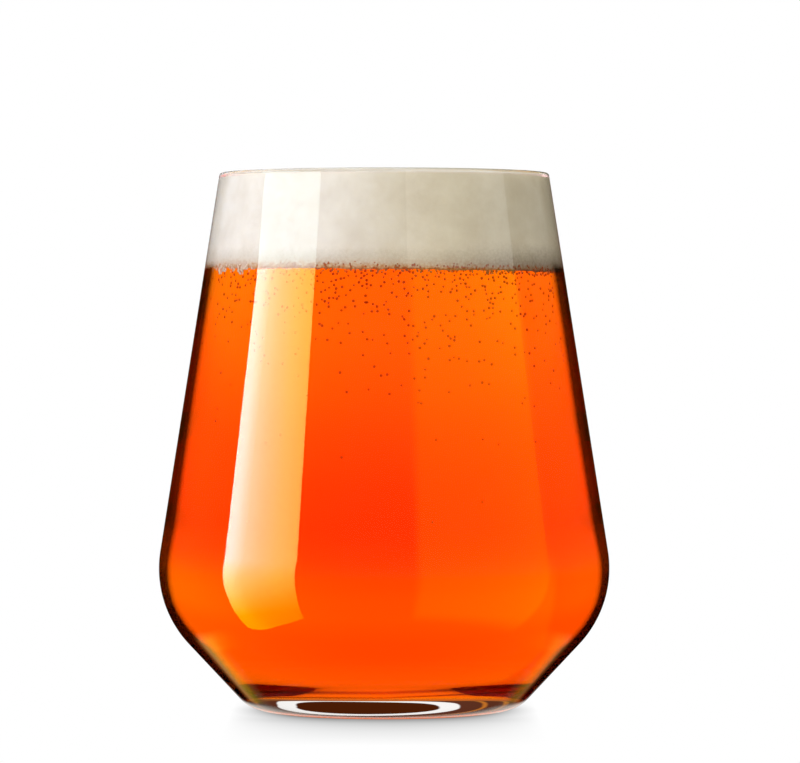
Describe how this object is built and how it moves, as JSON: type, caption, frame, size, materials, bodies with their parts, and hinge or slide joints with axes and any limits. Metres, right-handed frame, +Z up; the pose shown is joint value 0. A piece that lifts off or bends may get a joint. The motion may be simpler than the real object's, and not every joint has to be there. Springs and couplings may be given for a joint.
{
  "type": "beer glass",
  "caption": "Stemless glass tumbler with a leaning wall, a round shoulder and a tapered foot, filled with orange beer under a head of foam.",
  "frame": {"origin": "middle of the foot ring, on the surface that the glass stands on", "axes": "+Z up along the axis of the glass, +X and +Y level; the object is round, so no direction is its front"},
  "size_m": [0.0872, 0.0872, 0.104],
  "materials": {
    "clear_glass": "polished",
    "beer": "gloss",
    "foam": "matte"
  },
  "bodies": {
    "root": {"tumbler": "clear_glass", "beer": "beer", "foam_head": "foam"}
  },
  "joints": []
}
